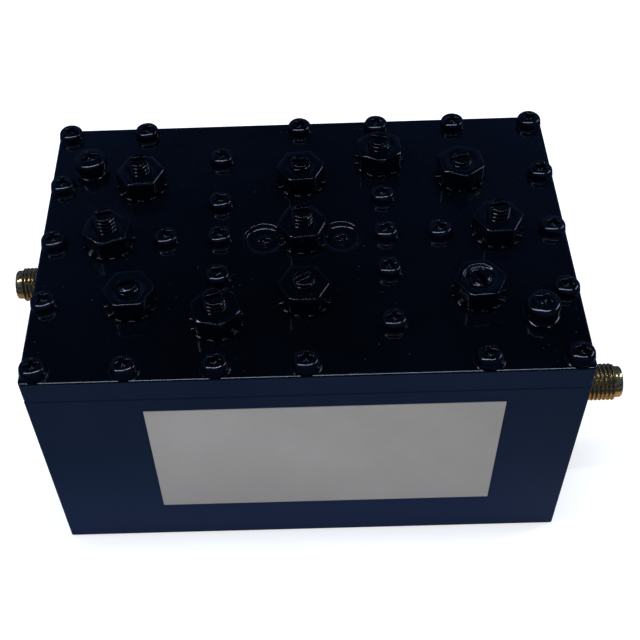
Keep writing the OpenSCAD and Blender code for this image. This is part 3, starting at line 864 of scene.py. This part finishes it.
def make_cover():
    """The thick cover plate with its two pockets, edges rounded over by the paint."""
    plate = block("cover_plate_painted", cover_low, cover_high)
    edit(plate)
    pick("EDGE", lambda point: abs(point.x) > 42 * MM and abs(point.y) > 28 * MM)
    bpy.ops.mesh.bevel(offset=0.7 * MM, segments=4, affect="EDGES")
    done()
    tools = []
    for middle in solid_middles("recessed_screws"):
        top = cover_top / MM
        pocket = turned("pocket", [(2.15, top - 0.72), (2.50, top - 0.70), (2.82, top - 0.63),
                                   (3.03, top - 0.50), (3.13, top - 0.33), (3.2, top + 1)], 56)
        tools.append(settle_at(pocket, middle.x, middle.y))
    drills = []
    for node, radius in (("cover_screws", 1.13), ("recessed_screws", 1.13), ("port_collars", 1.46)):
        for middle in solid_middles(node):
            drill = turned("drill", [(radius, cover_under / MM - 1), (radius, cover_top / MM + 1)], 20)
            drills.append(settle_at(drill, middle.x, middle.y))
    for number in range(1, 12):
        centre = place_in_plan("lock_nut_%d" % number, 0)
        drill = turned("drill", [(1.8, cover_under / MM - 1), (1.8, cover_top / MM + 1)], 28)
        drills.append(settle_at(drill, centre.x, centre.y))
    combine(plate, join_all(tools, "tools"), "DIFFERENCE")
    combine(plate, join_all(drills, "drills"), "DIFFERENCE")

    def is_outer(point):
        return abs(point.x) > cover_high.x - 0.55 * MM or abs(point.y) > cover_high.y - 0.55 * MM

    def is_edge(point):
        inset = [cover_high.x - abs(point.x), cover_high.y - abs(point.y)]
        return min(inset) < 0.05 * MM or max(inset) < 0.75 * MM

    def is_rim(point):
        beside = math.hypot(abs(point.x) - pocket_x, point.y - pocket_y)
        return point.z > cover_top - 0.1 * MM and abs(beside - 3.17 * MM) < 0.06 * MM

    pocket_middle = solid_middles("recessed_screws")[0]
    pocket_x, pocket_y = abs(pocket_middle.x), pocket_middle.y
    edit(plate)
    pick("EDGE", lambda point: is_rim(point) or is_outer(point) and abs(point.z - cover_under) < 0.01 * MM)
    bpy.ops.mesh.bevel(offset=0.40 * MM, segments=5, affect="EDGES")
    # Round the top a band slopes gently outwards, and its outer edge is rounded off
    band, fall = 0.45 * MM, 0.17 * MM
    pick("EDGE", lambda point: is_outer(point) and abs(point.z - cover_top) < 0.01 * MM)
    bpy.ops.mesh.bevel(offset=band, segments=1, affect="EDGES")
    pick("VERT", lambda point: abs(point.z - cover_top + band) < 0.01 * MM)
    bpy.ops.transform.translate(value=(0, 0, band - fall))
    pick("EDGE", lambda point: is_outer(point) and abs(point.z - cover_top + fall) < 0.01 * MM)
    bpy.ops.mesh.bevel(offset=0.12 * MM, segments=3, affect="EDGES")
    done()
    smooth_over(plate, 32)
    finish_with(plate, "WEIGHTED_NORMAL", weight=100, keep_sharp=True)
    dress(plate, GLOSS_NAVY, "navy_paint", "cover_plate")
    # The cover's sides take the satin paint, which is lighter because of its painted floor reflection.
    plate.data.materials.append(SATIN_NAVY_WITH_PAINTED_SHEEN)
    edit(plate)
    pick("FACE", lambda point: point.z < cover_top - 0.3 * MM and is_edge(point))
    plate.active_material_index = 1
    bpy.ops.object.material_slot_assign()
    bpy.ops.object.mode_set(mode="OBJECT")


def settle_at(piece, x, y):
    """Moves a piece made on the Z axis to its place in the plan."""
    piece.location = (x, y, 0)
    return settle(piece, piece.name)


def make_label():
    """The blank label: a thin film with a softened edge."""
    label = block("front_label_blank", label_low, label_high + Vector((0, 0.02 * MM, 0)))
    finish_with(label, "BEVEL", width=0.06 * MM, segments=2, limit_method="ANGLE",
                angle_limit=math.radians(40), harden_normals=True)
    smooth_over(label, 32)
    dress(label, LABEL_FILM, "label_foil", "front_label")


FLANGE_HALF = 6.35
FLANGE_THICK = 1.6
FLANGE_HOLE = 4.32
JACK_CREST = 3.175
JACK_PITCH = 0.7056


def make_jack_bodies():
    """The threaded jacks: square flange, neck, thread, nose and bore, drawn out along +Z."""
    half = FLANGE_HALF * MM
    flange = block("flange", (-half, -half, 0), (half, half, FLANGE_THICK * MM))
    edit(flange)
    pick("EDGE", lambda point: abs(point.x) > 6 * MM and abs(point.y) > 6 * MM)
    bpy.ops.mesh.bevel(offset=0.6 * MM, segments=3, affect="EDGES")
    done()
    barrel = turned("barrel", [(2.65, 0.5), (2.65, 2.9), (2.8, 9.6), (2.67, 9.72), (2.67, 10.65),
                               (2.50, 10.85), (1, 10.85)], 48)
    trim = [(2.8, 2.8), (JACK_CREST, 3.05), (JACK_CREST, 9.45), (2.8, 9.7)]
    thread = threaded("thread", trim, 2.97, JACK_CREST, JACK_PITCH, steps=48, cuts=5)
    combine(barrel, thread, "UNION")
    combine(flange, barrel, "UNION")
    combine(flange, turned("bore", [(2.09, -1), (2.09, 13)], 48), "DIFFERENCE")
    mouth = turned("mouth", [(2.3, 8.95), (2.3, 10.75), (2.42, 10.95), (2.42, 13)], 48)
    combine(flange, mouth, "DIFFERENCE")
    for x in (-FLANGE_HOLE, FLANGE_HOLE):
        for y in (-FLANGE_HOLE, FLANGE_HOLE):
            hole = turned("hole", [(1.13, -1), (1.13, 3)], 20)
            combine(flange, settle_at(hole, x * MM, y * MM), "DIFFERENCE")
    smooth_over(flange, 42)
    for side, turn in (("left", -math.pi / 2), ("right", math.pi / 2)):
        node = "jack_body_" + side
        low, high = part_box(node)
        wall = high.x if side == "left" else low.x
        place = Vector((wall, (low.y + high.y) / 2, (low.z + high.z) / 2))
        piece = copy_at(flange, node + "_gold", place, 0.0, Matrix.Rotation(turn, 4, "Y"))
        dress(piece, GOLD, "gold_plate", node)
    discard(flange)


def make_jack_screws():
    """The four small screws in each flange."""
    pattern = screw("pattern", 4.2, 1.33, 2.18, 5.1, 3.5, skirt=0.03)
    for side, turn in (("left", -math.pi / 2), ("right", math.pi / 2)):
        node = "jack_screws_" + side
        body_low, body_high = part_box("jack_body_" + side)
        thick = FLANGE_THICK * MM
        seat = body_high.x - thick if side == "left" else body_low.x + thick
        tilt = Matrix.Rotation(turn, 4, "Y")
        copies = []
        for number, middle in enumerate(solid_middles(node)):
            place = Vector((seat, middle.y, middle.z))
            copies.append(copy_at(pattern, "screw", place, 0.5 + 1.1 * number, tilt))
        dress(join_all(copies, node + "_steel"), STEEL, "bright_steel", node)
    discard(pattern)


def make_post_screws():
    """The screws that hold the posts, heads down in the underside."""
    head_height = 1.9
    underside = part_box("resonator_screws")[0].z
    pattern = screw("pattern", 5.2, head_height, 2.84, 8.8, 6)
    flip = Matrix.Rotation(math.pi, 4, "X")
    copies = []
    for number, middle in enumerate(solid_middles("resonator_screws")):
        place = Vector((middle.x, middle.y, underside + head_height * MM))
        copies.append(copy_at(pattern, "screw", place, 0.4 * number, flip))
    discard(pattern)
    dress(join_all(copies, "resonator_screws_painted"), GLOSS_NAVY, "navy_paint", "resonator_screws")


def finish_cad_nodes():
    """Materials of the CAD nodes that stay as they are."""
    # The housing takes the satin paint, which is lighter because of its painted floor reflection.
    finishes = {"housing": SATIN_NAVY_WITH_PAINTED_SHEEN}
    for number in range(1, 7):
        finishes["resonator_%d" % number] = SILVER
    for side in ("left", "right"):
        finishes["jack_insulator_" + side] = INSULATOR
        finishes["jack_contact_" + side] = GOLD
        finishes["tap_wire_" + side] = COPPER
    for node, material in finishes.items():
        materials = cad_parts[node].data.materials
        materials.clear()
        materials.append(material)


# Studio

def make_camera():
    """The camera at the photograph's viewing angle."""
    right = Vector((0.9995, -0.0135, -0.0294)).normalized()
    forward = Vector((-0.014, 0.6393, -0.7688)).normalized()
    right = (right - forward * right.dot(forward)).normalized()
    up = right.cross(forward)
    turn = Matrix((right, up, -forward)).transposed().to_4x4()
    data = bpy.data.cameras.new("photo view")
    data.lens = 62.79
    data.sensor_width = 36
    data.shift_x = 0.047
    data.clip_start = 0.01
    camera = bpy.data.objects.new("photo view", data)
    camera.matrix_world = Matrix.Translation(Vector((0.1, -127.4, 177.6)) * MM) @ turn
    bpy.context.scene.collection.objects.link(camera)
    bpy.context.scene.camera = camera


def softbox(name, place, target, width, height, watts, colour, along, skew=0):
    """A rectangular soft light aimed at a point, its width along an axis but for a skew in degrees."""
    data = bpy.data.lights.new(name, "AREA")
    data.shape = "RECTANGLE"
    data.size = width
    data.size_y = height
    data.energy = watts
    data.color = colour
    lamp = bpy.data.objects.new(name, data)
    back = (Vector(place) - Vector(target)).normalized()
    side = (Vector(along) - back * back.dot(Vector(along))).normalized()
    turn = Matrix((side, back.cross(side), back)).transposed().to_4x4()
    lamp.matrix_world = Matrix.Translation(place) @ Matrix.Rotation(math.radians(skew), 4, "Z") @ turn
    bpy.context.scene.collection.objects.link(lamp)


def add_seen_by(tree, *ray_kinds):
    """1 for any of these kinds of ray, else 0."""
    path = tree.nodes.new("ShaderNodeLightPath")
    total = path.outputs[ray_kinds[0]]
    for kind in ray_kinds[1:]:
        total = add_math(tree, "MAXIMUM", total, path.outputs[kind])
    return total


AMBIENT = 0.60
HORIZON = (0.40, 0.46, 0.56)
LOW_SKY = (0.014, 0.026, 0.070)
HIGH_SKY = (0.045, 0.085, 0.23)
CEILING = (0.004, 0.006, 0.010)


def make_world():
    """Plain pale light, white to the camera; gloss mirrors a blue room with a dark ceiling."""
    world = bpy.data.worlds.new("plain studio")
    world.use_nodes = True
    tree = world.node_tree
    background = tree.nodes["Background"]
    apart = tree.nodes.new("ShaderNodeSeparateXYZ")
    tree.links.new(tree.nodes.new("ShaderNodeTexCoord").outputs["Generated"], apart.inputs[0])
    rise = add_math(tree, "ABSOLUTE", apart.outputs[2])
    aside = add_math(tree, "MULTIPLY", add_math(tree, "ABSOLUTE", apart.outputs[0]), 0.22)
    haze = add_range(tree, rise, 0.0, 0.04, 0, 1, smooth=True)
    dusk = add_range(tree, rise, 0.25, 0.50, 0, 1, smooth=True)
    night = add_range(tree, add_math(tree, "SUBTRACT", rise, aside), 0.55, 0.72, 0, 1, smooth=True)
    behind = add_range(tree, apart.outputs[1], -0.35, 0.0, 0, 1, smooth=True)
    mirrored_colour = add_mix(tree, haze, HORIZON, LOW_SKY)
    mirrored_colour = add_mix(tree, dusk, mirrored_colour, HIGH_SKY)
    dark = add_math(tree, "MULTIPLY", night, behind)
    mirrored_colour = add_mix(tree, dark, mirrored_colour, CEILING)
    mirrored = add_seen_by(tree, "Is Glossy Ray", "Is Transmission Ray")
    colour = add_mix(tree, mirrored, (AMBIENT, AMBIENT, AMBIENT), mirrored_colour)
    colour = add_mix(tree, add_seen_by(tree, "Is Camera Ray"), colour, (1.0, 1.0, 1.0))
    tree.links.new(colour, background.inputs["Color"])
    bpy.context.scene.world = world


# Painted reflection: spots of floor below the jacks, seen only by gloss, are tinted bronze so that the jacks
# mirror it: the middle of each spot and its share of the tone
JACK_REFLECTION_SPOTS = (((0.060, -0.020, 0), 1), ((-0.060, 0.008, 0), 0.65))
PAINTED_JACK_REFLECTION = (0.44, 0.31, 0.17)
DIM_FLOOR = (0.015, 0.03, 0.09)


def make_floor():
    """A plain pale floor, white to the camera, dimmer in reflections, with bronze spots under the jacks that
    paint a reflection into them, and keeping the soft shadow.
    """
    clear_selection()
    bpy.ops.mesh.primitive_plane_add(size=0.36, location=(0, 0, -0.05 * MM))
    floor = settle(bpy.context.object, "studio_floor")
    material, tree, shader = new_material("pale floor")
    mottle = place_group(tree, DRIFT, Drift_Scale=3)
    mirrored = add_seen_by(tree, "Is Glossy Ray", "Is Transmission Ray")
    pale = add_mix(tree, mottle, (0.70, 0.70, 0.70), (0.71, 0.71, 0.71))
    place = tree.nodes.new("ShaderNodeTexCoord").outputs["Object"]
    jack_reflection_mask = None
    for centre, share in JACK_REFLECTION_SPOTS:
        away = tree.nodes.new("ShaderNodeVectorMath")
        away.operation = "DISTANCE"
        away.inputs[1].default_value = centre
        tree.links.new(place, away.inputs[0])
        near = add_range(tree, away.outputs["Value"], 0.034, 0.022, 0, share, smooth=True)
        jack_reflection_mask = near if jack_reflection_mask is None else add_math(tree, "MAXIMUM", jack_reflection_mask, near)
    # Gloss sees the floor as dim blue, and as bronze round the jacks, which is a painted reflection for
    # their undersides.
    dim = add_mix(tree, jack_reflection_mask, DIM_FLOOR, PAINTED_JACK_REFLECTION)
    tree.links.new(add_mix(tree, mirrored, pale, dim), shader.inputs["Base Color"])
    shader.inputs["Roughness"].default_value = 0.9
    shader.inputs["Specular IOR Level"].default_value = 0
    glow = add_math(tree, "MULTIPLY", add_seen_by(tree, "Is Camera Ray"), 0.52)
    glow = add_math(tree, "ADD", glow, add_math(tree, "MULTIPLY", mirrored, 0.01))
    shader.inputs["Emission Color"].default_value = (1, 1, 1, 1)
    tree.links.new(glow, shader.inputs["Emission Strength"])
    floor.data.materials.append(material)


def make_lights():
    """A long strip overhead, and one that falls from it to the back right."""
    middle = (0, 0, 0.04)
    across = (1, 0, 0)
    fall = (0.035, 0.23, -0.20)
    softbox("overhead strip", (-0.10, -0.006, 0.62), middle, 0.84, 0.035, 3.3, (0.64, 0.76, 1), across,
            skew=9)
    softbox("right strip", (0.52, 0.155, 0.41), middle, 0.29, 0.045, 0.68, (0.58, 0.74, 1), fall)


make_cover_screws()
make_recessed_screws()
make_port_screws()
make_collars()
make_tuning_hardware()
make_cover()
make_label()
make_jack_bodies()
make_jack_screws()
make_post_screws()
finish_cad_nodes()
make_camera()
make_world()
make_lights()
make_floor()

bpy.context.scene.view_settings.view_transform = "Standard"
